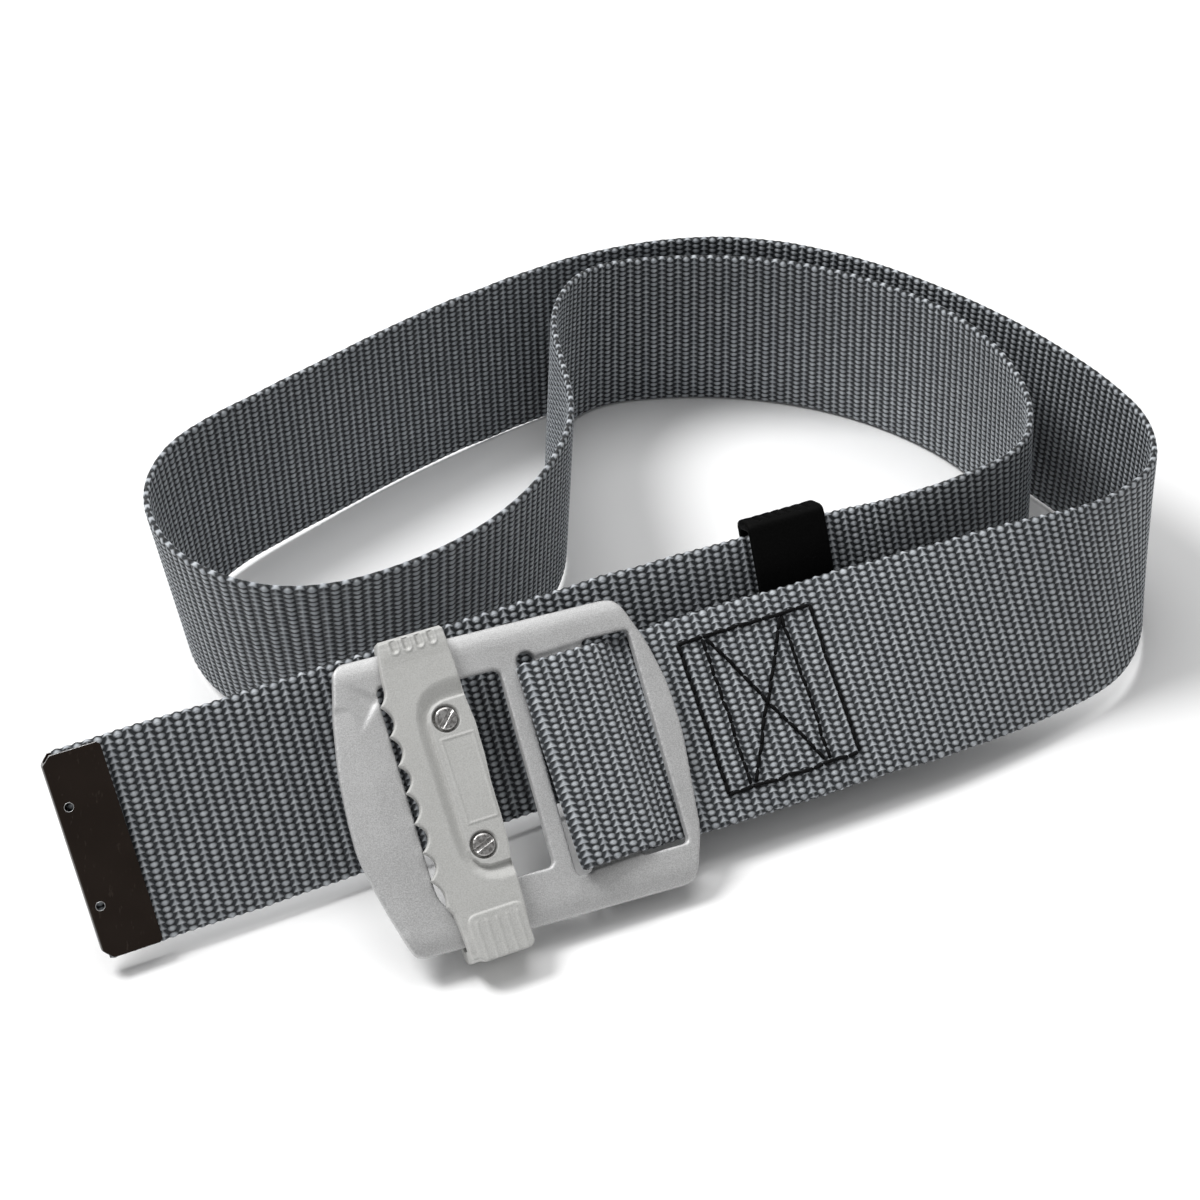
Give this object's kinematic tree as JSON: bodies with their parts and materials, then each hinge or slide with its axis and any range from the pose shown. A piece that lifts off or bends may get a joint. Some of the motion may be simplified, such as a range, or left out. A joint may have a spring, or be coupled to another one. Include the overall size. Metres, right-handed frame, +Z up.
{
  "type": "slide buckle belt",
  "caption": "Webbing belt lying coiled on its edge, with a cast frame buckle, toothed slider, keeper loop and metal end tip.",
  "frame": {"origin": "centre of the belt's bounding box, at floor level", "axes": "+Z up, the buckle's face towards -Y, the free end towards -X"},
  "size_m": [0.2648, 0.2228, 0.0555],
  "materials": {
    "webbing": "heavy ribbed polyester webbing, grey",
    "tip_metal": "dark bronze lacquer, glossy",
    "keeper_plastic": "black moulded plastic",
    "frame_alloy": "satin blasted casting",
    "slider_alloy": "matt warm grey coating on a casting",
    "screw_steel": "bright turned steel"
  },
  "bodies": {
    "strap": {"webbing_strap": "webbing", "end_tip": "tip_metal", "buckle_frame": "frame_alloy"},
    "keeper": {"keeper": "keeper_plastic"},
    "slider": {"slider": "slider_alloy", "slider_screw_upper": "screw_steel", "slider_screw_lower": "screw_steel"}
  },
  "joints": [
    {"name": "slider_slide", "type": "slide", "parent": "strap", "child": "slider", "axis": [0.9377, 0.3458, -0.034], "range_m": [0, 0.009]},
    {"name": "keeper_slide", "type": "slide", "parent": "strap", "child": "keeper", "axis": [0.9291, 0.3697, -0.0067], "range_m": [-0.012, 0.003]}
  ]
}
